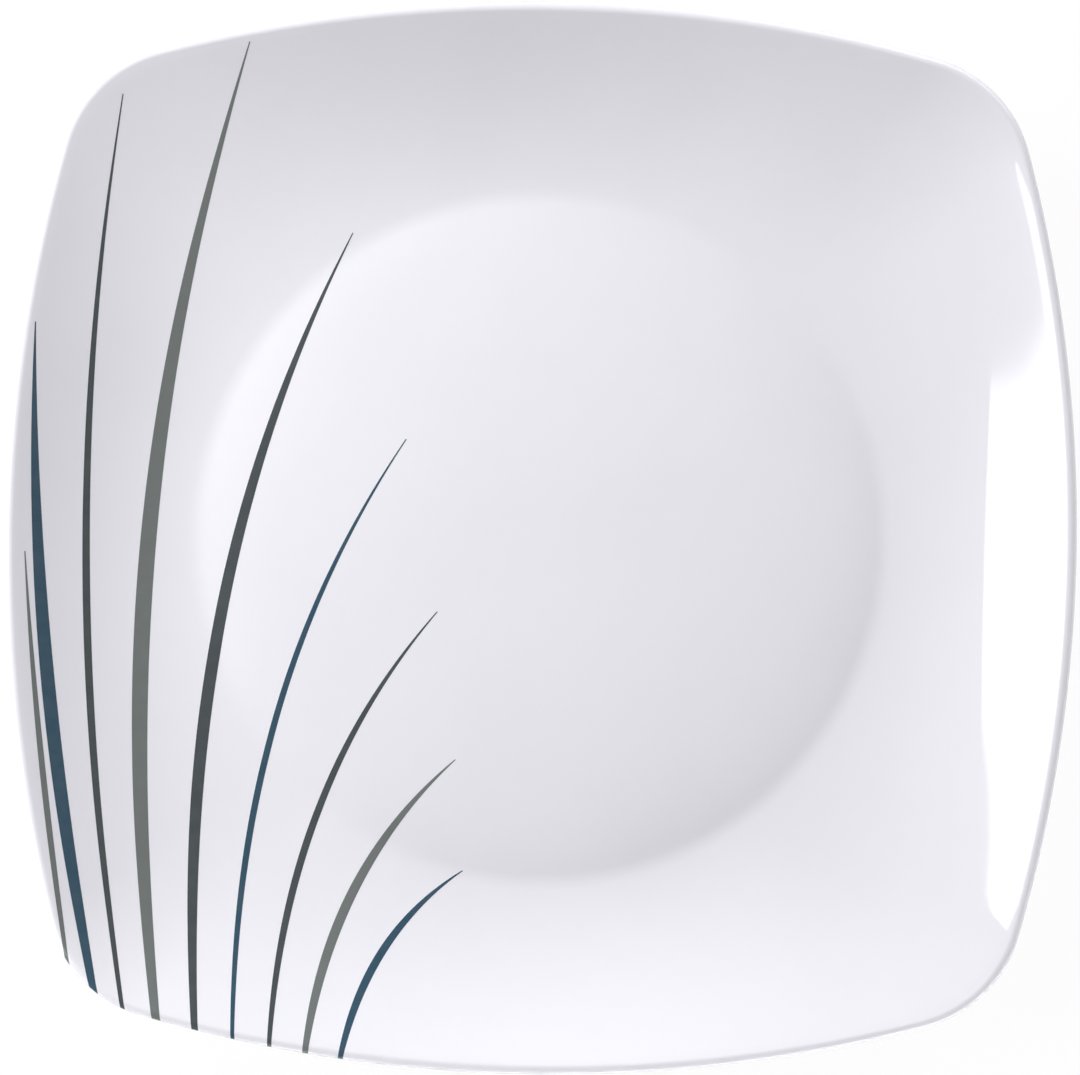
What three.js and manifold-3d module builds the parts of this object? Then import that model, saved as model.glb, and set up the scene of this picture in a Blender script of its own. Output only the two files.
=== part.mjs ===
import * as THREE from "three";
import { mergeVertices } from "three/addons/utils/BufferGeometryUtils.js";
import Module from "manifold-3d";

// A square plate in pressed melamine: a white moulding on a round foot ring, a spray of reed blades
// printed on its face in three inks, and a clear glaze pressed over both. Millimetres, +Z up, with the
// origin on the table under the middle of the plate.

// Edge in plan: four bowed sides joined by rounded corners
const ACROSS = 260;
const SIDE_RADIUS = 359;
const CORNER_RADIUS = 32;

// Section: a crowned floor falls to a round crease, and the rim rises from it in one sweep
const HEIGHT = 22;
const WALL = 3.4;
const WELL_RADIUS = 83.9;
const CREASE_BLEND = 2.2;
const CROWN = 4;
const CROWN_FALL = 25;
const RIM_BEND_HEIGHT = 2.2;

// Foot ring, which stands inside the crease so that plates nest
const FOOT_INSET = 4;
const FOOT_WIDTH = 5;
const FOOT_HEIGHT = 2.5;
const FOOT_DRAFT = 1.2;
const FOOT_ROUND = 0.8;

// Layers pressed on the body's face
const GLAZE = 0.4;
const PRINT = 0.2;
const SEAT_GAP = 0.1;

// Printed blades, which grow from the edge and swell and taper like brush strokes
const BLADE_LENGTH = 245;
const BLADE_WIDTH = 3.9;
const BLADE_BLEED = 3;
const BLADE_TIP = 0.3;
const BLADE_ROOT_SWELL = 0.15;

// Facets
const SIDE_STEPS = 12;
const CORNER_STEPS = 6;
const FLOOR_STEPS = 4;
const CREASE_STEPS = 4;
const RIM_STEPS = 5;
const LIP_STEPS = 4;
const LOWER_LIP_STEPS = 3;
const BLADE_STEPS = 12;

const WHITE = new THREE.MeshStandardMaterial({ color: 0xeeedf1, roughness: 0.25 });
const CLEAR = new THREE.MeshStandardMaterial({
  color: 0xffffff,
  roughness: 0.1,
  transparent: true,
  opacity: 0.15,
});
const CHARCOAL = new THREE.MeshStandardMaterial({ color: 0x4a5053, roughness: 0.3 });
const GREY = new THREE.MeshStandardMaterial({ color: 0x717777, roughness: 0.3 });
const TEAL = new THREE.MeshStandardMaterial({ color: 0x2d505f, roughness: 0.3 });

// Each blade leaves the edge at a plan angle `root`, heading along `lean`, and turns by `bend` on its
// way. Angles are in degrees, anticlockwise from the right-hand side. Lengths and widths are shares of
// the longest and the widest blade.
const BLADES = [
  { ink: GREY, root: 223, lean: 100, bend: -6, length: 0.41, width: 0.36 },
  { ink: TEAL, root: 226.5, lean: 103, bend: -14, length: 0.67, width: 0.82 },
  { ink: CHARCOAL, root: 229.5, lean: 101, bend: -20, length: 0.92, width: 0.46 },
  { ink: GREY, root: 232.5, lean: 99, bend: -27, length: 1, width: 1 },
  { ink: CHARCOAL, root: 236, lean: 96, bend: -32, length: 0.84, width: 0.77 },
  { ink: TEAL, root: 239.5, lean: 93, bend: -36, length: 0.65, width: 0.41 },
  { ink: CHARCOAL, root: 243, lean: 90, bend: -40, length: 0.49, width: 0.46 },
  { ink: GREY, root: 246.5, lean: 86, bend: -44, length: 0.35, width: 0.62 },
  { ink: TEAL, root: 250, lean: 82, bend: -48, length: 0.24, width: 0.51 },
];

const QUARTER_TURN = Math.PI / 2;
const LIP_RADIUS = WALL / 2;

// Centres of the arcs of the edge: a side's lies on its own axis, a corner's on the diagonal
const sideCentre = ACROSS / 2 - SIDE_RADIUS;
const cornerReach = SIDE_RADIUS - CORNER_RADIUS;
const cornerCentre = (sideCentre + Math.sqrt(2 * cornerReach ** 2 - sideCentre ** 2)) / 2;
const sideTurn = Math.atan2(cornerCentre, cornerCentre - sideCentre);
const sideEnd = new THREE.Vector2(Math.cos(sideTurn), Math.sin(sideTurn)).multiplyScalar(SIDE_RADIUS);
const sideHalfAngle = Math.atan2(sideEnd.y, sideCentre + sideEnd.x);

// Distance from the middle of the plate to its edge at a plan angle
function edgeRadius(angle) {
  const half = QUARTER_TURN / 2;
  const folded = Math.abs(THREE.MathUtils.euclideanModulo(angle + half, QUARTER_TURN) - half);
  const along = Math.cos(folded);
  const across = Math.sin(folded);
  if (folded <= sideHalfAngle) {
    return sideCentre * along + Math.sqrt(SIDE_RADIUS ** 2 - (sideCentre * across) ** 2);
  }
  const offset = cornerCentre * (along - across);
  return cornerCentre * (along + across) + Math.sqrt(CORNER_RADIUS ** 2 - offset ** 2);
}

// Plan angles of the sections, closer together round the corners
function planAngles() {
  const angles = [];
  const cornerAngle = QUARTER_TURN - 2 * sideHalfAngle;
  for (let quarter = 0; quarter < 4; quarter++) {
    const start = quarter * QUARTER_TURN - sideHalfAngle;
    for (let i = 0; i < SIDE_STEPS; i++) {
      angles.push(start + (2 * sideHalfAngle * i) / SIDE_STEPS);
    }
    for (let i = 0; i < CORNER_STEPS; i++) {
      angles.push(start + 2 * sideHalfAngle + (cornerAngle * i) / CORNER_STEPS);
    }
  }
  return angles;
}

const PLAN_ANGLES = planAngles();

// Points and outward normals along a curve of the section, without its first point
function sampleCurve(curve, steps) {
  const samples = [];
  for (let i = 1; i <= steps; i++) {
    const tangent = curve.getTangent(i / steps);
    samples.push({
      point: curve.getPoint(i / steps),
      normal: new THREE.Vector2(-tangent.y, tangent.x),
    });
  }
  return samples;
}

// Point at a distance from one point towards another
function pointTowards(from, to, distance) {
  return to.clone().sub(from).setLength(distance).add(from);
}

// Curves of the visible face from the middle to the widest line of the lip, for a section whose edge is
// `edge` from the middle. Each is a quadratic that rounds off one bend, so they meet without a kink.
function faceCurves(edge) {
  const crease = new THREE.Vector2(WELL_RADIUS, FOOT_HEIGHT + WALL);
  const floorBend = new THREE.Vector2(WELL_RADIUS - CROWN_FALL, crease.y + CROWN);
  const lipCentre = new THREE.Vector2(edge - LIP_RADIUS, HEIGHT - LIP_RADIUS);
  const rimBend = new THREE.Vector2((crease.x + lipCentre.x) / 2, crease.y + RIM_BEND_HEIGHT);
  const toLip = lipCentre.clone().sub(rimBend);
  const rimSlope = toLip.angle() + Math.asin(LIP_RADIUS / toLip.length());
  const lipStart = rimSlope + QUARTER_TURN;
  const lip = new THREE.EllipseCurve(lipCentre.x, lipCentre.y, LIP_RADIUS, LIP_RADIUS, lipStart, 0, true);
  const middle = new THREE.Vector2(0, floorBend.y);
  const floorEnd = pointTowards(crease, floorBend, CREASE_BLEND);
  const rimStart = pointTowards(crease, rimBend, CREASE_BLEND);
  return {
    floor: new THREE.QuadraticBezierCurve(middle, floorBend, floorEnd),
    crease: new THREE.QuadraticBezierCurve(floorEnd, crease, rimStart),
    rim: new THREE.QuadraticBezierCurve(rimStart, rimBend, lip.getPoint(0)),
    lip,
    lipCentre,
    rimSlope,
  };
}

// Points of a layer boundary that lies `depth` under the visible face
function layerPoints(samples, depth) {
  return samples.map(({ point, normal }) => point.clone().addScaledVector(normal, -depth));
}

function faceSamples(curves) {
  const middle = { point: curves.floor.getPoint(0), normal: new THREE.Vector2(0, 1) };
  return [
    middle,
    ...sampleCurve(curves.floor, FLOOR_STEPS),
    ...sampleCurve(curves.crease, CREASE_STEPS),
    ...sampleCurve(curves.rim, RIM_STEPS),
    ...sampleCurve(curves.lip, LIP_STEPS),
  ];
}

// Closed section of the layer between two depths under the face
function layerSection(edge, upperDepth, lowerDepth) {
  const samples = faceSamples(faceCurves(edge));
  return [...layerPoints(samples, upperDepth), ...layerPoints(samples, lowerDepth).reverse()];
}

// Foot ring from its outer root round its flat underside to its inner root
function footPoints() {
  const outer = WELL_RADIUS - FOOT_INSET;
  const inner = outer - FOOT_WIDTH;
  return [
    new THREE.Vector2(outer + FOOT_DRAFT, FOOT_HEIGHT),
    new THREE.Vector2(outer, FOOT_ROUND),
    new THREE.Vector2(outer - FOOT_ROUND, 0),
    new THREE.Vector2(inner + FOOT_ROUND, 0),
    new THREE.Vector2(inner, FOOT_ROUND),
    new THREE.Vector2(inner - FOOT_DRAFT, FOOT_HEIGHT),
  ];
}

// Closed section of the body: its face under the layers, the ledge that the glaze ends over, the lower
// half of the lip, the underside at one wall from the face, and the foot ring
function bodySection(edge) {
  const curves = faceCurves(edge);
  const samples = faceSamples(curves);
  const layers = GLAZE + PRINT + 2 * SEAT_GAP;
  const face = layerPoints(samples.slice(0, -1), layers);
  const ledge = curves.lipCentre.y - SEAT_GAP;
  const ledgeTurn = Math.asin(SEAT_GAP / LIP_RADIUS);
  const { x, y } = curves.lipCentre;
  const lipEnd = curves.rimSlope - QUARTER_TURN;
  const lowerLip = new THREE.EllipseCurve(x, y, LIP_RADIUS, LIP_RADIUS, -ledgeTurn, lipEnd, true);
  const rim = [...sampleCurve(curves.crease, 1), ...sampleCurve(curves.rim, RIM_STEPS)].slice(0, -1);
  const foot = footPoints();
  const footRoot = foot.at(-1).x;
  const floor = [samples[0], ...sampleCurve(curves.floor, FLOOR_STEPS)];
  const floorUnder = layerPoints(floor, WALL).filter((point) => point.x < footRoot);
  return [
    ...face,
    new THREE.Vector2(edge - layers, ledge),
    ...lowerLip.getPoints(LOWER_LIP_STEPS),
    ...layerPoints(rim, WALL).reverse(),
    ...foot,
    ...floorUnder.reverse(),
  ];
}

// Closed solid through a section at every plan angle. A section starts and ends on the axis. Each facet
// pair is split from its inner corner on one section to its outer corner on the next, whichever way the
// section runs, so that layers lie parallel.
function loft(sectionAt) {
  const sections = PLAN_ANGLES.map((angle) => sectionAt(edgeRadius(angle)));
  const last = sections[0].length - 1;
  const positions = [0, 0, sections[0][0].y];
  PLAN_ANGLES.forEach((angle, j) => {
    for (const { x, y } of sections[j].slice(1, last)) {
      positions.push(x * Math.cos(angle), x * Math.sin(angle), y);
    }
  });
  positions.push(0, 0, sections[0][last].y);
  const bottomPole = positions.length / 3 - 1;
  const vertex = (i, j) => 1 + (j % sections.length) * (last - 1) + i - 1;
  const triangles = [];
  for (let j = 0; j < sections.length; j++) {
    triangles.push(0, vertex(1, j), vertex(1, j + 1));
    for (let i = 1; i < last - 1; i++) {
      const here = [vertex(i, j), vertex(i + 1, j)];
      const next = [vertex(i, j + 1), vertex(i + 1, j + 1)];
      if (sections[j][i + 1].x > sections[j][i].x) {
        triangles.push(here[0], here[1], next[1], here[0], next[1], next[0]);
      } else {
        triangles.push(here[0], here[1], next[0], here[1], next[1], next[0]);
      }
    }
    triangles.push(vertex(last - 1, j), bottomPole, vertex(last - 1, j + 1));
  }
  const geometry = new THREE.BufferGeometry();
  geometry.setAttribute("position", new THREE.Float32BufferAttribute(positions, 3));
  geometry.setIndex(triangles);
  return geometry;
}

const wasm = await Module();
wasm.setup();

function toSolid(geometry) {
  const bare = geometry.clone();
  bare.deleteAttribute("normal");
  bare.deleteAttribute("uv");
  const merged = mergeVertices(bare);
  const vertProperties = merged.attributes.position.array;
  const triVerts = new Uint32Array(merged.index.array);
  return new wasm.Manifold(new wasm.Mesh({ numProp: 3, vertProperties, triVerts }));
}

function toGeometry(solid) {
  const { vertProperties, triVerts } = solid.getMesh();
  const geometry = new THREE.BufferGeometry();
  geometry.setAttribute("position", new THREE.BufferAttribute(vertProperties, 3));
  geometry.setIndex(new THREE.BufferAttribute(triVerts, 1));
  return geometry;
}

function headingAt(degrees) {
  const angle = THREE.MathUtils.degToRad(degrees);
  return new THREE.Vector2(Math.cos(angle), Math.sin(angle));
}

// Outline of a blade in plan: both sides of a spine that starts off the edge and ends in a fine tip
function bladeShape({ root, lean, bend, length, width }) {
  const reach = (length * BLADE_LENGTH) / 2;
  const edge = headingAt(root).multiplyScalar(edgeRadius(THREE.MathUtils.degToRad(root)));
  const start = edge.clone().addScaledVector(headingAt(lean), -BLADE_BLEED);
  const turn = edge.clone().addScaledVector(headingAt(lean), reach);
  const tip = turn.clone().addScaledVector(headingAt(lean + bend), reach);
  const spine = new THREE.QuadraticBezierCurve(start, turn, tip);
  const left = [];
  const right = [];
  for (let i = 0; i <= BLADE_STEPS; i++) {
    const along = i / BLADE_STEPS;
    const tangent = spine.getTangent(along);
    const side = new THREE.Vector2(-tangent.y, tangent.x);
    const swell = Math.sin(Math.PI * THREE.MathUtils.lerp(BLADE_ROOT_SWELL, 1, along));
    const halfWidth = (BLADE_TIP + (width * BLADE_WIDTH - BLADE_TIP) * swell) / 2;
    left.push(spine.getPoint(along).addScaledVector(side, halfWidth));
    right.push(spine.getPoint(along).addScaledVector(side, -halfWidth));
  }
  return new THREE.Shape([...left, ...right.reverse()]);
}

function makeMesh(name, geometry, material) {
  geometry.computeVertexNormals();
  const mesh = new THREE.Mesh(geometry, material);
  mesh.name = name;
  return mesh;
}

function makeBlades() {
  const upperDepth = GLAZE + SEAT_GAP;
  const ink = toSolid(loft((edge) => layerSection(edge, upperDepth, upperDepth + PRINT)));
  return BLADES.map((blade, i) => {
    const column = new THREE.ExtrudeGeometry(bladeShape(blade), { depth: HEIGHT, bevelEnabled: false });
    return makeMesh(`reed_blade_${i + 1}`, toGeometry(ink.intersect(toSolid(column))), blade.ink);
  });
}

const plate = new THREE.Group();
plate.add(makeMesh("plate_body", loft(bodySection), WHITE));
plate.add(...makeBlades());
plate.add(makeMesh("glaze_coat", loft((edge) => layerSection(edge, 0, GLAZE)), CLEAR));

export default plate;
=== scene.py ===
from math import asin, atan2, cos, pi, radians, sin, sqrt

import bpy
from bpy.props import FloatProperty, FloatVectorProperty, PointerProperty
from mathutils import Matrix, Quaternion, Vector


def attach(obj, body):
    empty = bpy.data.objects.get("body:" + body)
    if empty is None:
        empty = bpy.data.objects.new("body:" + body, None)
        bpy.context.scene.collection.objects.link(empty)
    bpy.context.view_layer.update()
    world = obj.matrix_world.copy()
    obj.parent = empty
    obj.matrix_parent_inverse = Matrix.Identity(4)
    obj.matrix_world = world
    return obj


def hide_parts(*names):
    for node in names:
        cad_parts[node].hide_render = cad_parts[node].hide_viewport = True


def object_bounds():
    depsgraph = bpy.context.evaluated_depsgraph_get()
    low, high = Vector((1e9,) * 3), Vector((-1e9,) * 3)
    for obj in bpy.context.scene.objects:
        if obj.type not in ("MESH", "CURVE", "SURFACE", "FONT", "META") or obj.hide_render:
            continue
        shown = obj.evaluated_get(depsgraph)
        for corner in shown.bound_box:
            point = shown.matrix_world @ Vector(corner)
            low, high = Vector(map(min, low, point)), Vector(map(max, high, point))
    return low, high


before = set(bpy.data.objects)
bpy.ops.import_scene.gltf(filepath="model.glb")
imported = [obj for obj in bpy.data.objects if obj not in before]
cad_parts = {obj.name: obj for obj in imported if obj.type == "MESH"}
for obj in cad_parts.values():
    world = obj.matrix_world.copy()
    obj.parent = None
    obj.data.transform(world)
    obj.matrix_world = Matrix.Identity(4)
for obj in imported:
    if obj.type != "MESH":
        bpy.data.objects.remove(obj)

bl_info = {
    "name": "Melamine Plate",
    "version": (1, 0, 0),
    "blender": (4, 5, 0),
    "location": "3D View > Sidebar > Plate",
    "description": "Makes a square melamine plate with reed blades printed under its glaze",
    "category": "Mesh",
}

CAD_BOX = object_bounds()
MM = 0.001

# Facets of the plate's section and edge, and of a printed blade
FLOOR_STEPS = 16
CREASE_STEPS = 10
RIM_STEPS = 24
LIP_STEPS = 14
ROUND_STEPS = 5
SIDE_STEPS = 64
CORNER_STEPS = 24
BLADE_STEPS = 192
BLADE_LINES = 7

# A blade starts at this share of its swell. Its steps crowd towards the root, where it turns over the lip.
ROOT_SWELL = 0.15
ROOT_CROWDING = 1.7
TRIM_ROUNDS = 40

# Points closer than this are joined, and the ink has a sharp edge past this angle
SEAM_DISTANCE = 0.001 * MM
SHARP_ANGLE = radians(40)

# Roughness of the face and the ink, depth of the glaze's waves, and white that shows through thin ink
WHITE_ROUGHNESS = 0.04
INK_ROUGHNESS = 0.05
WAVE_DEPTH = 0.004 * MM
INK_THINNING = 0.03

# Each blade leaves the edge at the plan angle `root`, heads along `lean` and turns by `bend` on its way, in
# degrees anticlockwise from the right-hand side. Lengths and widths are shares of the largest ones.
BLADES = (
    {"ink": "grey_ink", "root": 223, "lean": 100, "bend": -6, "length": 0.41, "width": 0.36},
    {"ink": "teal_ink", "root": 226.5, "lean": 103, "bend": -14, "length": 0.67, "width": 0.82},
    {"ink": "charcoal_ink", "root": 229.5, "lean": 101, "bend": -20, "length": 0.92, "width": 0.46},
    {"ink": "grey_ink", "root": 232.5, "lean": 99, "bend": -27, "length": 1, "width": 1},
    {"ink": "charcoal_ink", "root": 236, "lean": 96, "bend": -32, "length": 0.84, "width": 0.77},
    {"ink": "teal_ink", "root": 239.5, "lean": 93, "bend": -36, "length": 0.65, "width": 0.41},
    {"ink": "charcoal_ink", "root": 243, "lean": 90, "bend": -40, "length": 0.49, "width": 0.46},
    {"ink": "grey_ink", "root": 246.5, "lean": 86, "bend": -44, "length": 0.35, "width": 0.62},
    {"ink": "teal_ink", "root": 250, "lean": 82, "bend": -48, "length": 0.24, "width": 0.51},
)

# Lamps by plan angle, rise over the table, distance from the plate and size. The light of a soft lamp fades
# towards its edges over the share `fade` of its width and length. A lamp is turned about its beam by `spin`.
LAMPS = (
    {
        "name": "side_lamp",
        "turn": 174.9,
        "rise": 31,
        "away": 1.05,
        "width": 0.179,
        "length": 0.89,
        "spin": -2.7,
    },
    {"name": "key_lamp", "turn": 140, "rise": 30, "away": 1.2, "width": 0.9, "length": 0.9, "fade": 0.4},
    {"name": "right_lamp", "turn": 54, "rise": 20, "away": 1.4, "width": 2.2, "length": 0.8, "fade": 0.4},
    {"name": "left_lamp", "turn": 200, "rise": 30, "away": 0.8, "width": 0.5, "length": 0.5, "fade": 0.4},
    {"name": "front_lamp", "turn": 302, "rise": 10, "away": 0.6, "width": 0.6, "length": 0.16, "fade": 0.4},
    {"name": "edge_lamp", "turn": 290, "rise": 1.6, "away": 0.45, "width": 0.7, "length": 0.02},
)

# Brightness of the floor by itself, and the share of the lamps' light that it adds, which holds the shadow
FLOOR_GLOW = 0.93
FLOOR_SHADE = 0.09

# Place that the camera looks at, from the middle of the plate, and width of its sensor in millimetres
CAMERA_AIM = (0.19 * MM, -0.27 * MM)
SENSOR_WIDTH = 36


def size_property(name, default, description):
    return FloatProperty(
        name=name, description=description, default=default, min=0, precision=5, unit="LENGTH"
    )


def angle_property(name, degrees, description):
    return FloatProperty(name=name, description=description, default=radians(degrees), subtype="ANGLE")


def power_property(name, default, description):
    return FloatProperty(name=name, description=description, default=default, min=0, unit="POWER")


def colour_property(name, default, description):
    return FloatVectorProperty(
        name=name, description=description, default=default, min=0, max=1, size=4, subtype="COLOR"
    )


class PlateSizes(bpy.types.PropertyGroup):
    """Sizes of the moulded plate"""

    across: size_property("Across", CAD_BOX[1][0] - CAD_BOX[0][0], "Width between the middles of two sides")
    height: size_property("Height", CAD_BOX[1][2] - CAD_BOX[0][2], "Height from the foot to the lip")
    side_radius: size_property("Side Radius", 359 * MM, "Radius of a bowed side in plan")
    corner_radius: size_property("Corner Radius", 32 * MM, "Radius of a corner in plan")
    wall: size_property("Wall", 3.4 * MM, "Thickness of the wall, which ends in a round lip")
    well_radius: size_property("Well Radius", 83.9 * MM, "Radius of the crease round the well")
    crease_blend: size_property("Crease Blend", 2.2 * MM, "Length of the turn from floor to rim")
    crown: size_property("Crown", 4 * MM, "Rise of the floor from the crease to the middle")
    crown_fall: size_property("Crown Fall", 25 * MM, "Distance inside the crease at which the floor falls")
    rim_bend_height: size_property("Rim Bend", 2.2 * MM, "Rise of the bend that the rim's sweep rounds off")
    foot_inset: size_property("Foot Inset", 4 * MM, "Distance of the foot ring inside the crease")
    foot_width: size_property("Foot Width", 5 * MM, "Width of the foot ring")
    foot_height: size_property("Foot Height", 2.5 * MM, "Height of the foot ring")
    foot_draft: size_property("Foot Draft", 1.2 * MM, "Slant of each side of the foot ring")
    foot_round: size_property("Foot Round", 0.8 * MM, "Rounding of the foot ring's edges")


class PrintSizes(bpy.types.PropertyGroup):
    """Sizes of the printed blades"""

    blade_length: size_property("Blade Length", 245 * MM, "Length of the longest blade")
    blade_width: size_property("Blade Width", 3.9 * MM, "Width of the widest blade")
    tip: size_property("Tip", 0.25 * MM, "Width of a blade's tip")
    bleed: size_property("Bleed", 3 * MM, "Length of a blade past the edge before it is trimmed")
    margin: size_property("Margin", 0.15 * MM, "Distance of the trimmed ink from the edge")
    thickness: size_property("Thickness", 0.2 * MM, "Thickness of the ink")
    proud: size_property("Proud", 0.03 * MM, "Height of the ink over the white face")


class PlateColours(bpy.types.PropertyGroup):
    """Colours of the plate and its inks"""

    white: colour_property("White", (0.857, 0.85, 0.904, 1), "Colour of the white melamine")
    shaded_white: colour_property("Shaded White", (0.837, 0.83, 0.888, 1), "Colour of its darker clouds")
    charcoal: colour_property("Charcoal", (0.036, 0.048, 0.053, 1), "Colour of the charcoal ink")
    grey: colour_property("Grey", (0.135, 0.153, 0.15, 1), "Colour of the grey ink")
    teal: colour_property("Teal", (0.004, 0.052, 0.096, 1), "Colour of the teal ink")
    floor: colour_property("Floor", (0.8, 0.8, 0.8, 1), "Colour of the floor")


class StageSizes(bpy.types.PropertyGroup):
    """Places of the camera and strengths of the lamps"""

    camera_height: size_property("Camera Height", 1.5, "Height of the camera over the table")
    frame_width: size_property("Frame Width", 261.2 * MM, "Width that the camera sees at the lip's height")
    camera_tilt: angle_property("Camera Tilt", 1.94, "Angle by which the camera leans from straight above")
    camera_side: angle_property("Camera Side", -60, "Plan angle of the side that the camera leans to")
    camera_roll: angle_property("Camera Roll", 0.88, "Turn of the camera about its view")
    side_lamp: power_property("Side Lamp", 2.7, "Power of the narrow lamp on the left")
    key_lamp: power_property("Key Lamp", 25.5, "Power of the wide lamp behind the plate on the left")
    right_lamp: power_property("Right Lamp", 31.5, "Power of the low lamp behind the plate on the right")
    left_lamp: power_property("Left Lamp", 6, "Power of the near lamp on the left")
    front_lamp: power_property("Front Lamp", 1.9, "Power of the low lamp in front of the plate")
    edge_lamp: power_property("Edge Lamp", 0.9, "Power of the strip on the table that lights the front lip")
    fill: FloatProperty(name="Fill", description="Strength of the light from all sides", default=0.16, min=0)


def heading(angle):
    return Vector((cos(angle), sin(angle)))


class PlateEdge:
    """Edge of the plate in plan: four bowed sides joined by rounded corners"""

    def __init__(self, sizes):
        self.side_radius = sizes.side_radius
        self.corner_radius = sizes.corner_radius
        self.side_centre = sizes.across / 2 - sizes.side_radius
        reach = sizes.side_radius - sizes.corner_radius
        self.corner_centre = (self.side_centre + sqrt(2 * reach**2 - self.side_centre**2)) / 2
        side_turn = atan2(self.corner_centre, self.corner_centre - self.side_centre)
        side_end = heading(side_turn) * sizes.side_radius
        self.side_half_angle = atan2(side_end.y, self.side_centre + side_end.x)

    def radius(self, angle):
        folded = abs((angle + pi / 4) % (pi / 2) - pi / 4)
        along = cos(folded)
        across = sin(folded)
        if folded <= self.side_half_angle:
            return self.side_centre * along + sqrt(self.side_radius**2 - (self.side_centre * across) ** 2)
        offset = self.corner_centre * (along - across)
        return self.corner_centre * (along + across) + sqrt(self.corner_radius**2 - offset**2)

    def point(self, angle):
        return heading(angle) * self.radius(angle)

    def plan_angles(self):
        angles = []
        corner_angle = pi / 2 - 2 * self.side_half_angle
        for quarter in range(4):
            start = quarter * pi / 2 - self.side_half_angle
            for i in range(SIDE_STEPS):
                angles.append(start + 2 * self.side_half_angle * i / SIDE_STEPS)
            for i in range(CORNER_STEPS):
                angles.append(start + 2 * self.side_half_angle + corner_angle * i / CORNER_STEPS)
        return angles


def quadratic(start, bend, end, steps):
    """Points and left-hand normals along a curve that rounds off one bend"""
    samples = []
    for i in range(steps + 1):
        t = i / steps
        point = start * (1 - t) ** 2 + bend * (2 * t * (1 - t)) + end * t**2
        tangent = ((bend - start) * (1 - t) + (end - bend) * t).normalized()
        samples.append((point, Vector((-tangent.y, tangent.x))))
    return samples


def towards(start, end, distance):
    return start + (end - start).normalized() * distance


def rounded_path(corners, blends):
    """Points along a path whose inner corners are rounded over the blend lengths"""
    points = [corners[0]]
    for i, blend in enumerate(blends, start=1):
        before = towards(corners[i], corners[i - 1], blend)
        after = towards(corners[i], corners[i + 1], blend)
        points.extend(point for point, normal in quadratic(before, corners[i], after, ROUND_STEPS))
    return points + [corners[-1]]


def plate_section(sizes, edge):
    """Section of the plate from the middle of its face over the lip to the middle of its underside"""
    lip = sizes.wall / 2
    crease = Vector((sizes.well_radius, sizes.foot_height + sizes.wall))
    floor_bend = crease + Vector((-sizes.crown_fall, sizes.crown))
    lip_centre = Vector((edge - lip, sizes.height - lip))
    rim_bend = Vector(((crease.x + lip_centre.x) / 2, crease.y + sizes.rim_bend_height))
    to_lip = lip_centre - rim_bend
    rim_slope = atan2(to_lip.y, to_lip.x) + asin(lip / to_lip.length)
    middle = Vector((0, floor_bend.y))
    floor_end = towards(crease, floor_bend, sizes.crease_blend)
    rim_start = towards(crease, rim_bend, sizes.crease_blend)
    rim_end = lip_centre + heading(rim_slope + pi / 2) * lip

    floor = quadratic(middle, floor_bend, floor_end, FLOOR_STEPS)
    turn = quadratic(floor_end, crease, rim_start, CREASE_STEPS)
    rim = quadratic(rim_start, rim_bend, rim_end, RIM_STEPS)
    face = [point for point, normal in floor[:-1] + turn[:-1] + rim[:-1]]
    lip_arc = [
        lip_centre + heading(rim_slope + pi / 2 - pi * i / LIP_STEPS) * lip for i in range(LIP_STEPS + 1)
    ]
    rim_under = [point - normal * sizes.wall for point, normal in reversed(rim[:-1])]

    outer = sizes.well_radius - sizes.foot_inset
    inner = outer - sizes.foot_width
    inner_root = inner - sizes.foot_draft
    floor_under = [point - normal * sizes.wall for point, normal in reversed(floor)]
    floor_under = [point for point in floor_under if point.x < inner_root - 3 * sizes.foot_round]
    root_blend = 1.5 * sizes.foot_round
    foot = rounded_path(
        [
            rim_under[-1],
            Vector((outer + sizes.foot_draft, sizes.foot_height)),
            Vector((outer, 0)),
            Vector((inner, 0)),
            Vector((inner_root, sizes.foot_height)),
            floor_under[0],
        ],
        [root_blend, sizes.foot_round, sizes.foot_round, root_blend],
    )
    return face + lip_arc + rim_under[:-1] + foot + floor_under[1:]


def new_object(name, mesh):
    piece = bpy.data.objects.new(name, mesh)
    bpy.context.scene.collection.objects.link(piece)
    return piece


def points_object(name, points):
    mesh = bpy.data.meshes.new(name)
    mesh.from_pydata(points, [], [])
    return new_object(name, mesh)


class NodeTree:
    """A node tree with short calls to add, link and lay out its nodes"""

    def __init__(self, tree):
        self.tree = tree
        self.column = 0

    def add(self, kind, inputs=None, **settings):
        node = self.tree.nodes.new(kind)
        node.location = (self.column * 190, -(self.column % 3) * 170)
        self.column += 1
        for name, value in settings.items():
            setattr(node, name, value)
        for key, value in (inputs or {}).items():
            if isinstance(value, bpy.types.NodeSocket):
                self.tree.links.new(value, node.inputs[key])
            else:
                node.inputs[key].default_value = value
        return node

    def link(self, output, target):
        self.tree.links.new(output, target)

    def math(self, operation, *values):
        return self.add("ShaderNodeMath", dict(enumerate(values)), operation=operation).outputs[0]

    def vector_math(self, operation, *values):
        return self.add("ShaderNodeVectorMath", dict(enumerate(values)), operation=operation).outputs[0]


def new_geometry_tree(name, sockets):
    tree = bpy.data.node_groups.new(name, "GeometryNodeTree")
    for socket_name, kind in sockets:
        tree.interface.new_socket(socket_name, in_out="INPUT", socket_type=kind)
    tree.interface.new_socket("Geometry", in_out="OUTPUT", socket_type="NodeSocketGeometry")
    return tree


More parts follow.
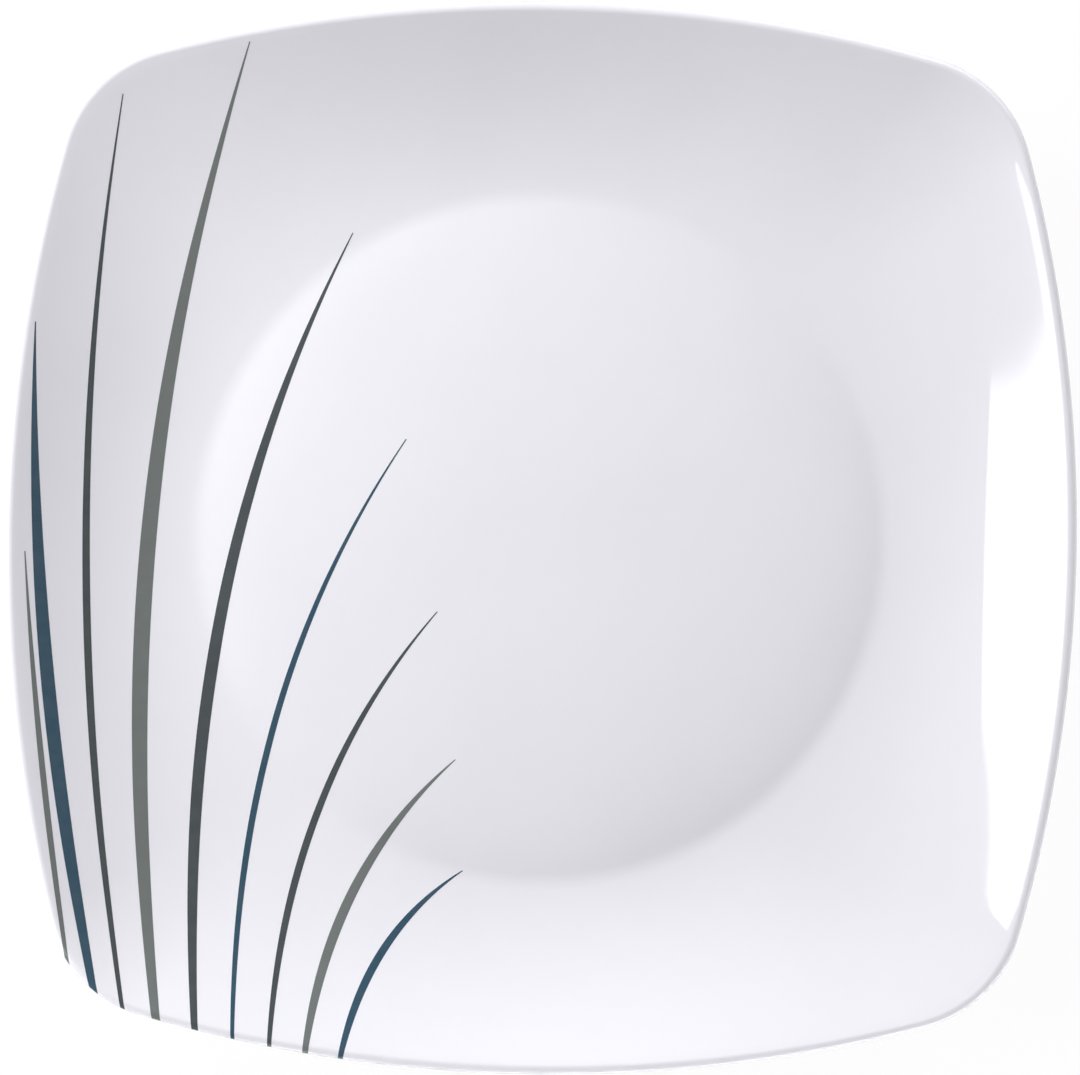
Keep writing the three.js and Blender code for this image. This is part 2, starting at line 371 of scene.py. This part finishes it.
def finish_geometry(nodes, geometry, material):
    realized = nodes.add("GeometryNodeRealizeInstances", {"Geometry": geometry}).outputs[0]
    painted = nodes.add("GeometryNodeSetMaterial", {"Geometry": realized, "Material": material}).outputs[0]
    nodes.add("NodeGroupOutput", {"Geometry": painted})


def loft_tree():
    """Lofts a section round an outline. The section turns from the side's into the corner's as the outline
    moves out from Side Reach to Corner Reach."""
    tree = new_geometry_tree(
        "Loft Round Outline",
        [
            ("Side Section", "NodeSocketObject"),
            ("Corner Section", "NodeSocketObject"),
            ("Outline", "NodeSocketObject"),
            ("Side Reach", "NodeSocketFloat"),
            ("Corner Reach", "NodeSocketFloat"),
            ("Seam Distance", "NodeSocketFloat"),
            ("Material", "NodeSocketMaterial"),
        ],
    )
    nodes = NodeTree(tree)
    given = nodes.add("NodeGroupInput").outputs
    position = nodes.add("GeometryNodeInputPosition").outputs[0]

    def points_of(name):
        info = nodes.add("GeometryNodeObjectInfo", {"Object": given[name]}, transform_space="ORIGINAL")
        return info.outputs["Geometry"]

    def count_of(geometry):
        return nodes.add("GeometryNodeAttributeDomainSize", {"Geometry": geometry}).outputs["Point Count"]

    def sample(geometry, index):
        node = nodes.add(
            "GeometryNodeSampleIndex",
            {"Geometry": geometry, "Index": index},
            data_type="FLOAT_VECTOR",
            clamp=True,
        )
        nodes.link(position, node.inputs["Value"])
        return node.outputs[0]

    side = points_of("Side Section")
    corner = points_of("Corner Section")
    outline = points_of("Outline")
    section_count = count_of(side)
    outline_count = count_of(outline)
    columns = nodes.math("ADD", outline_count, 1.0)
    grid = nodes.add(
        "GeometryNodeMeshGrid",
        {"Size X": 1.0, "Size Y": 1.0, "Vertices X": section_count, "Vertices Y": columns},
    ).outputs["Mesh"]

    place = nodes.add("ShaderNodeSeparateXYZ", {0: position}).outputs
    last = nodes.math("SUBTRACT", section_count, 1.0)
    row = nodes.math("ROUND", nodes.math("MULTIPLY", nodes.math("ADD", place["X"], 0.5), last))
    column = nodes.math("ROUND", nodes.math("MULTIPLY", nodes.math("ADD", place["Y"], 0.5), outline_count))
    column = nodes.math("FLOORED_MODULO", column, outline_count)

    edge = sample(outline, column)
    reach = nodes.add("ShaderNodeVectorMath", {0: edge}, operation="LENGTH").outputs["Value"]
    share = nodes.add(
        "ShaderNodeMapRange",
        {"Value": reach, "From Min": given["Side Reach"], "From Max": given["Corner Reach"]},
    ).outputs["Result"]
    section = nodes.add("ShaderNodeMix", data_type="VECTOR")
    nodes.link(share, section.inputs["Factor"])
    vectors = [socket for socket in section.inputs if socket.type == "VECTOR" and socket.name in "AB"]
    nodes.link(sample(side, row), vectors[0])
    nodes.link(sample(corner, row), vectors[1])
    mixed = next(socket for socket in section.outputs if socket.type == "VECTOR")

    parts = nodes.add("ShaderNodeSeparateXYZ", {0: mixed}).outputs
    outwards = nodes.vector_math("NORMALIZE", edge)
    flat = nodes.add(
        "ShaderNodeVectorMath", {0: outwards, "Scale": parts["X"]}, operation="SCALE"
    ).outputs[0]
    upwards = nodes.add("ShaderNodeCombineXYZ", {"Z": parts["Z"]}).outputs[0]
    target = nodes.vector_math("ADD", flat, upwards)
    shell = nodes.add("GeometryNodeSetPosition", {"Geometry": grid, "Position": target}).outputs[0]
    closed = nodes.add(
        "GeometryNodeMergeByDistance", {"Geometry": shell, "Distance": given["Seam Distance"]}
    ).outputs[0]
    smooth = nodes.add("GeometryNodeSetShadeSmooth", {"Geometry": closed}).outputs[0]
    finish_geometry(nodes, smooth, given["Material"])
    return tree


def press_tree():
    """Presses a flat shape straight down onto the plate and gives it a thickness as a closed solid"""
    tree = new_geometry_tree(
        "Press Onto Face",
        [
            ("Flat Shape", "NodeSocketGeometry"),
            ("Plate", "NodeSocketObject"),
            ("Drop Height", "NodeSocketFloat"),
            ("Proud", "NodeSocketFloat"),
            ("Thickness", "NodeSocketFloat"),
            ("Seam Distance", "NodeSocketFloat"),
            ("Sharp Angle", "NodeSocketFloat"),
            ("Material", "NodeSocketMaterial"),
        ],
    )
    nodes = NodeTree(tree)
    given = nodes.add("NodeGroupInput").outputs
    position = nodes.add("GeometryNodeInputPosition").outputs[0]
    normal = nodes.add("GeometryNodeInputNormal").outputs[0]
    plate = nodes.add("GeometryNodeObjectInfo", {"Object": given["Plate"]}, transform_space="ORIGINAL")
    rise = nodes.add("ShaderNodeCombineXYZ", {"Z": given["Drop Height"]}).outputs[0]
    ray = nodes.add(
        "GeometryNodeRaycast",
        {
            "Target Geometry": plate.outputs["Geometry"],
            "Source Position": nodes.vector_math("ADD", position, rise),
            "Ray Direction": (0, 0, -1),
            "Ray Length": given["Drop Height"],
        },
        data_type="FLOAT_VECTOR",
    )
    nodes.link(normal, ray.inputs["Attribute"])
    sink = nodes.math("SUBTRACT", given["Proud"], given["Thickness"])
    depth = nodes.add(
        "ShaderNodeVectorMath", {0: ray.outputs["Attribute"], "Scale": sink}, operation="SCALE"
    ).outputs[0]
    bed = nodes.vector_math("ADD", ray.outputs["Hit Position"], depth)
    base = nodes.add(
        "GeometryNodeSetPosition", {"Geometry": given["Flat Shape"], "Position": bed}
    ).outputs[0]
    raised = nodes.add(
        "GeometryNodeExtrudeMesh", {"Mesh": base, "Offset Scale": given["Thickness"], "Individual": False}
    ).outputs["Mesh"]
    underside = nodes.add("GeometryNodeFlipFaces", {"Mesh": base}).outputs[0]
    joined = nodes.add("GeometryNodeJoinGeometry")
    nodes.link(raised, joined.inputs[0])
    nodes.link(underside, joined.inputs[0])
    closed = nodes.add(
        "GeometryNodeMergeByDistance",
        {"Geometry": joined.outputs[0], "Distance": given["Seam Distance"]},
    ).outputs[0]
    smooth = nodes.add("GeometryNodeSetShadeSmooth", {"Geometry": closed}).outputs[0]
    turn = nodes.add("GeometryNodeInputMeshEdgeAngle").outputs["Unsigned Angle"]
    sharp = nodes.math("GREATER_THAN", turn, given["Sharp Angle"])
    creased = nodes.add(
        "GeometryNodeSetShadeSmooth",
        {"Geometry": smooth, "Selection": sharp, "Shade Smooth": False},
        domain="EDGE",
    ).outputs[0]
    finish_geometry(nodes, creased, given["Material"])
    return tree


def shape_by_nodes(piece, tree, values):
    """Shapes a piece with a node tree and keeps the result as its plain mesh"""
    modifier = piece.modifiers.new(tree.name, "NODES")
    modifier.node_group = tree
    for socket in tree.interface.items_tree:
        if socket.in_out == "INPUT" and socket.name in values:
            modifier[socket.identifier] = values[socket.name]
    depsgraph = bpy.context.evaluated_depsgraph_get()
    mesh = bpy.data.meshes.new_from_object(piece.evaluated_get(depsgraph))
    mesh.name = piece.name
    flat_mesh = piece.data
    piece.modifiers.clear()
    piece.data = mesh
    bpy.data.meshes.remove(flat_mesh)
    return piece


def glaze_group():
    """Gloss and slight waves of the pressed glaze, shared by the white face and the inks under it"""
    tree = bpy.data.node_groups.new("Glaze", "ShaderNodeTree")
    tree.interface.new_socket("Place", in_out="INPUT", socket_type="NodeSocketVector")
    tree.interface.new_socket("Roughness", in_out="INPUT", socket_type="NodeSocketFloat")
    tree.interface.new_socket("Roughness", in_out="OUTPUT", socket_type="NodeSocketFloat")
    tree.interface.new_socket("Wave", in_out="OUTPUT", socket_type="NodeSocketFloat")
    nodes = NodeTree(tree)
    given = nodes.add("NodeGroupInput").outputs
    smears = nodes.add("ShaderNodeTexNoise", {"Vector": given["Place"], "Scale": 45.0, "Detail": 4.0})
    spread = nodes.add(
        "ShaderNodeMapRange", {"Value": smears.outputs["Fac"], "To Min": 0.8, "To Max": 1.2}
    ).outputs["Result"]
    roughness = nodes.math("MULTIPLY", given["Roughness"], spread)
    waves = nodes.add("ShaderNodeTexNoise", {"Vector": given["Place"], "Scale": 60.0, "Detail": 1.0})
    nodes.add("NodeGroupOutput", {"Roughness": roughness, "Wave": waves.outputs["Fac"]})
    return tree


def ink_group():
    """Density of printed ink: even along a stroke, a little thinner in fine clouds and at its tip"""
    tree = bpy.data.node_groups.new("Ink Density", "ShaderNodeTree")
    tree.interface.new_socket("Place", in_out="INPUT", socket_type="NodeSocketVector")
    tree.interface.new_socket("Along", in_out="INPUT", socket_type="NodeSocketFloat")
    tree.interface.new_socket("Thinness", in_out="OUTPUT", socket_type="NodeSocketFloat")
    nodes = NodeTree(tree)
    given = nodes.add("NodeGroupInput").outputs
    clouds = nodes.add("ShaderNodeTexNoise", {"Vector": given["Place"], "Scale": 220.0, "Detail": 5.0})
    grain = nodes.add(
        "ShaderNodeMapRange", {"Value": clouds.outputs["Fac"], "From Min": 0.35, "From Max": 0.75}
    ).outputs["Result"]
    tip = nodes.add(
        "ShaderNodeMapRange", {"Value": given["Along"], "From Min": 0.75, "From Max": 1.0, "To Max": 0.5}
    ).outputs["Result"]
    thinness = nodes.math("ADD", nodes.math("MULTIPLY", grain, 0.5), tip)
    nodes.add("NodeGroupOutput", {"Thinness": thinness})
    return tree


def shared_group(make, name):
    return bpy.data.node_groups.get(name) or make()


def glossy_material(name, darker, paler, roughness, mask_of):
    """A glazed material whose colour goes from one shade to another by a mask"""
    material = bpy.data.materials.new(name)
    material.use_nodes = True
    material.node_tree.nodes.clear()
    nodes = NodeTree(material.node_tree)
    place = nodes.add("ShaderNodeTexCoord").outputs["Object"]
    mask = mask_of(nodes, place)
    blend = nodes.add("ShaderNodeMix", data_type="RGBA")
    nodes.link(mask, blend.inputs["Factor"])
    colours = [socket for socket in blend.inputs if socket.type == "RGBA"]
    colours[0].default_value = darker
    colours[1].default_value = paler
    colour = next(socket for socket in blend.outputs if socket.type == "RGBA")
    glaze = nodes.add("ShaderNodeGroup", node_tree=shared_group(glaze_group, "Glaze"))
    nodes.link(place, glaze.inputs["Place"])
    glaze.inputs["Roughness"].default_value = roughness
    bump = nodes.add(
        "ShaderNodeBump", {"Height": glaze.outputs["Wave"], "Strength": 1.0, "Distance": WAVE_DEPTH}
    )
    shader = nodes.add(
        "ShaderNodeBsdfPrincipled",
        {
            "Base Color": colour,
            "Roughness": glaze.outputs["Roughness"],
            "Normal": bump.outputs[0],
            "IOR": 1.5,
        },
    )
    nodes.add("ShaderNodeOutputMaterial", {"Surface": shader.outputs[0]})
    return material


def white_melamine(colours):
    def clouds(nodes, place):
        noise = nodes.add("ShaderNodeTexNoise", {"Vector": place, "Scale": 25.0, "Detail": 6.0})
        return nodes.add(
            "ShaderNodeMapRange", {"Value": noise.outputs["Fac"], "From Min": 0.3, "From Max": 0.6}
        ).outputs["Result"]

    return glossy_material("white_melamine", colours.shaded_white, colours.white, WHITE_ROUGHNESS, clouds)


def ink_material(name, colour):
    def density(nodes, place):
        along = nodes.add("ShaderNodeAttribute", attribute_name="along").outputs["Fac"]
        group = nodes.add("ShaderNodeGroup", node_tree=shared_group(ink_group, "Ink Density"))
        nodes.link(place, group.inputs["Place"])
        nodes.link(along, group.inputs["Along"])
        return group.outputs["Thinness"]

    paler = tuple(channel + (1 - channel) * INK_THINNING for channel in colour[:3]) + (1,)
    return glossy_material(name, tuple(colour), paler, INK_ROUGHNESS, density)


def flat_blade(name, edge, sizes, blade):
    """A blade in plan, trimmed just inside the edge, with its share of the way along kept on every point"""
    length = sizes.blade_length * blade["length"]
    width = sizes.blade_width * blade["width"]
    lean = heading(radians(blade["lean"]))
    root = edge.point(radians(blade["root"]))
    start = root - lean * sizes.bleed
    turn = root + lean * length / 2
    tip = turn + heading(radians(blade["lean"] + blade["bend"])) * length / 2

    def place(along, across):
        spine = start * (1 - along) ** 2 + turn * (2 * along * (1 - along)) + tip * along**2
        tangent = ((turn - start) * (1 - along) + (tip - turn) * along).normalized()
        swell = sin(pi * (ROOT_SWELL + (1 - ROOT_SWELL) * along))
        half = (sizes.tip + (width - sizes.tip) * swell) / 2
        return spine + Vector((-tangent.y, tangent.x)) * half * across

    def trim(across):
        low, high = 0.0, 0.5
        for step in range(TRIM_ROUNDS):
            middle = (low + high) / 2
            point = place(middle, across)
            if point.length > edge.radius(atan2(point.y, point.x)) - sizes.margin:
                low = middle
            else:
                high = middle
        return high

    verts = []
    shares = []
    for line in range(BLADE_LINES):
        across = 1 - 2 * line / (BLADE_LINES - 1)
        first = trim(across)
        for i in range(BLADE_STEPS + 1):
            along = first + (1 - first) * (i / BLADE_STEPS) ** ROOT_CROWDING
            point = place(along, across)
            verts.append((point.x, point.y, 0))
            shares.append(along)
    faces = []
    row = BLADE_STEPS + 1
    for line in range(BLADE_LINES - 1):
        for i in range(BLADE_STEPS):
            corner = line * row + i
            faces.append((corner, corner + row, corner + row + 1, corner + 1))
    mesh = bpy.data.meshes.new(name)
    mesh.from_pydata(verts, [], faces)
    mesh.attributes.new("along", "FLOAT", "POINT").data.foreach_set("value", shares)
    return new_object(name, mesh)


class PLATE_OT_body(bpy.types.Operator):
    """Make the white plate with its well, rim, lip and foot ring"""

    bl_idname = "plate.body"
    bl_label = "Plate Body"

    def execute(self, context):
        sizes = context.scene.plate_sizes
        edge = PlateEdge(sizes)
        corner_reach = edge.radius(pi / 4)
        sections = {}
        for name, reach in (("Side Section", sizes.across / 2), ("Corner Section", corner_reach)):
            section = plate_section(sizes, reach)
            sections[name] = points_object(name, [(point.x, 0, point.y) for point in section])
        outline = [edge.point(angle).to_3d() for angle in edge.plan_angles()]
        sections["Outline"] = points_object("Outline", outline)
        values = dict(sections)
        values["Side Reach"] = sizes.across / 2
        values["Corner Reach"] = corner_reach
        values["Seam Distance"] = SEAM_DISTANCE
        values["Material"] = white_melamine(context.scene.plate_colours)
        plate = new_object("white_plate", bpy.data.meshes.new("white_plate"))
        shape_by_nodes(plate, loft_tree(), values)
        for guide in sections.values():
            bpy.data.objects.remove(guide)
        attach(plate, "root")
        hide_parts("plate_body", "glaze_coat")
        return {"FINISHED"}


class PLATE_OT_blades(bpy.types.Operator):
    """Print the reed blades on the face"""

    bl_idname = "plate.blades"
    bl_label = "Printed Blades"

    def execute(self, context):
        edge = PlateEdge(context.scene.plate_sizes)
        sizes = context.scene.plate_print
        colours = context.scene.plate_colours
        inks = {
            "charcoal_ink": ink_material("charcoal_ink", colours.charcoal),
            "grey_ink": ink_material("grey_ink", colours.grey),
            "teal_ink": ink_material("teal_ink", colours.teal),
        }
        values = {
            "Plate": bpy.data.objects["white_plate"],
            "Drop Height": 2 * context.scene.plate_sizes.height,
            "Proud": sizes.proud,
            "Thickness": sizes.thickness,
            "Seam Distance": SEAM_DISTANCE,
            "Sharp Angle": SHARP_ANGLE,
        }
        press = press_tree()
        for number, blade in enumerate(BLADES, start=1):
            piece = flat_blade(f"printed_blade_{number}", edge, sizes, blade)
            shape_by_nodes(piece, press, values | {"Material": inks[blade["ink"]]})
            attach(piece, "root")
            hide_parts(f"reed_blade_{number}")
        return {"FINISHED"}


def add_floor(colour):
    """A sheet of paper that looks white, takes a faint shadow and can be looked through from below"""
    mesh = bpy.data.meshes.new("floor")
    reach = 4.0
    corners = [(-reach, -reach, 0), (reach, -reach, 0), (reach, reach, 0), (-reach, reach, 0)]
    mesh.from_pydata(corners, [], [(0, 1, 2, 3)])
    floor = new_object("floor", mesh)
    material = bpy.data.materials.new("floor_paper")
    material.use_nodes = True
    material.node_tree.nodes.clear()
    nodes = NodeTree(material.node_tree)
    seen = seen_directly(nodes)
    paper = nodes.add("ShaderNodeBsdfDiffuse", {"Color": tuple(colour)}).outputs[0]
    grey = (FLOOR_SHADE, FLOOR_SHADE, FLOOR_SHADE, 1)
    shade = nodes.add("ShaderNodeBsdfDiffuse", {"Color": grey}).outputs[0]
    glow = nodes.add("ShaderNodeEmission", {"Color": (1, 1, 1, 1), "Strength": FLOOR_GLOW}).outputs[0]
    lit = nodes.add("ShaderNodeAddShader", {0: shade, 1: glow}).outputs[0]
    upper = nodes.add("ShaderNodeMixShader", {0: seen, 1: paper, 2: lit}).outputs[0]
    below = nodes.add("ShaderNodeNewGeometry").outputs["Backfacing"]
    clear = nodes.add("ShaderNodeBsdfTransparent").outputs[0]
    shader = nodes.add("ShaderNodeMixShader", {0: below, 1: upper, 2: clear}).outputs[0]
    nodes.add("ShaderNodeOutputMaterial", {"Surface": shader})
    mesh.materials.append(material)


def seen_directly(nodes):
    """1 where the camera sees a surface, also in a reflection or through glass"""
    path = nodes.add("ShaderNodeLightPath").outputs
    seen = nodes.math("MAXIMUM", path["Is Camera Ray"], path["Is Glossy Ray"])
    return nodes.math("MAXIMUM", seen, path["Is Transmission Ray"])


def add_world(fill):
    world = bpy.data.worlds.new("studio")
    world.use_nodes = True
    world.node_tree.nodes.clear()
    nodes = NodeTree(world.node_tree)
    seen = seen_directly(nodes)
    soft = nodes.add("ShaderNodeBackground", {"Color": (1, 1, 1, 1), "Strength": fill}).outputs[0]
    white = nodes.add("ShaderNodeBackground", {"Color": (1, 1, 1, 1), "Strength": 1.0}).outputs[0]
    shader = nodes.add("ShaderNodeMixShader", {0: seen, 1: soft, 2: white}).outputs[0]
    nodes.add("ShaderNodeOutputWorld", {"Surface": shader})
    bpy.context.scene.world = world


def add_softbox(lamp, power):
    """A rectangular lamp that faces the plate"""
    data = bpy.data.lights.new(lamp["name"], "AREA")
    data.shape = "RECTANGLE"
    data.size = lamp["width"]
    data.size_y = lamp["length"]
    data.energy = power
    turn, rise = radians(lamp["turn"]), radians(lamp["rise"])
    flat = heading(turn) * cos(rise)
    softbox = bpy.data.objects.new(lamp["name"], data)
    softbox.location = Vector((flat.x, flat.y, sin(rise))) * lamp["away"]
    facing = (-softbox.location).to_track_quat("-Z", "Y")
    spin = Quaternion((0, 0, 1), radians(lamp.get("spin", 0)))
    softbox.rotation_euler = (facing @ spin).to_euler()
    bpy.context.scene.collection.objects.link(softbox)
    if "fade" in lamp:
        data.use_nodes = True
        data.node_tree.nodes.clear()
        nodes = NodeTree(data.node_tree)
        across = nodes.add("ShaderNodeNewGeometry").outputs["Parametric"]
        parts = nodes.add("ShaderNodeSeparateXYZ", {0: across}).outputs
        strengths = []
        for axis in ("X", "Y"):
            mirrored = nodes.math("SUBTRACT", 1.0, parts[axis])
            inside = nodes.math("MINIMUM", parts[axis], mirrored)
            strengths.append(
                nodes.add(
                    "ShaderNodeMapRange",
                    {"Value": inside, "From Max": lamp["fade"]},
                    interpolation_type="SMOOTHSTEP",
                ).outputs["Result"]
            )
        strength = nodes.math("MULTIPLY", *strengths)
        glow = nodes.add("ShaderNodeEmission", {"Strength": strength}).outputs[0]
        nodes.add("ShaderNodeOutputLight", {"Surface": glow})


class PLATE_OT_stage(bpy.types.Operator):
    """Add the floor, the lamps and the camera"""

    bl_idname = "plate.stage"
    bl_label = "Stage"

    def execute(self, context):
        scene = context.scene
        stage = scene.plate_stage
        scene.view_settings.view_transform = "Standard"
        add_floor(scene.plate_colours.floor)
        add_world(stage.fill)
        for lamp in LAMPS:
            add_softbox(lamp, getattr(stage, lamp["name"]))

        data = bpy.data.cameras.new("camera")
        data.sensor_width = SENSOR_WIDTH
        data.sensor_fit = "HORIZONTAL"
        lip_distance = stage.camera_height - scene.plate_sizes.height
        data.lens = data.sensor_width * lip_distance / stage.frame_width
        camera = bpy.data.objects.new("camera", data)
        flat = heading(stage.camera_side) * sin(stage.camera_tilt)
        back = Vector((flat.x, flat.y, cos(stage.camera_tilt)))
        right = Vector((0, 1, 0)).cross(back).normalized()
        turned = Matrix((right, back.cross(right), back)).transposed()
        aim = Vector((*CAMERA_AIM, scene.plate_sizes.height))
        camera.matrix_world = (
            Matrix.Translation(aim + back * lip_distance)
            @ turned.to_4x4()
            @ Matrix.Rotation(stage.camera_roll, 4, "Z")
        )
        scene.collection.objects.link(camera)
        scene.camera = camera
        return {"FINISHED"}


class PLATE_PT_sidebar(bpy.types.Panel):
    """Buttons and sizes of the plate"""

    bl_idname = "PLATE_PT_sidebar"
    bl_label = "Melamine Plate"
    bl_space_type = "VIEW_3D"
    bl_region_type = "UI"
    bl_category = "Plate"

    def draw(self, context):
        for operator in OPERATORS:
            self.layout.operator(operator.bl_idname)
        for name in GROUPS:
            settings = getattr(context.scene, name)
            column = self.layout.column(align=True)
            for key in settings.bl_rna.properties.keys():
                if key not in ("rna_type", "name"):
                    column.prop(settings, key)


OPERATORS = (PLATE_OT_body, PLATE_OT_blades, PLATE_OT_stage)
GROUPS = {
    "plate_sizes": PlateSizes,
    "plate_print": PrintSizes,
    "plate_colours": PlateColours,
    "plate_stage": StageSizes,
}
CLASSES = (*GROUPS.values(), *OPERATORS, PLATE_PT_sidebar)


def register():
    for cls in CLASSES:
        bpy.utils.register_class(cls)
    for name, group in GROUPS.items():
        setattr(bpy.types.Scene, name, PointerProperty(type=group))


def unregister():
    for name in GROUPS:
        delattr(bpy.types.Scene, name)
    for cls in reversed(CLASSES):
        bpy.utils.unregister_class(cls)


def main():
    register()
    bpy.ops.plate.body()
    bpy.ops.plate.blades()
    bpy.ops.plate.stage()


if __name__ == "__main__":
    main()
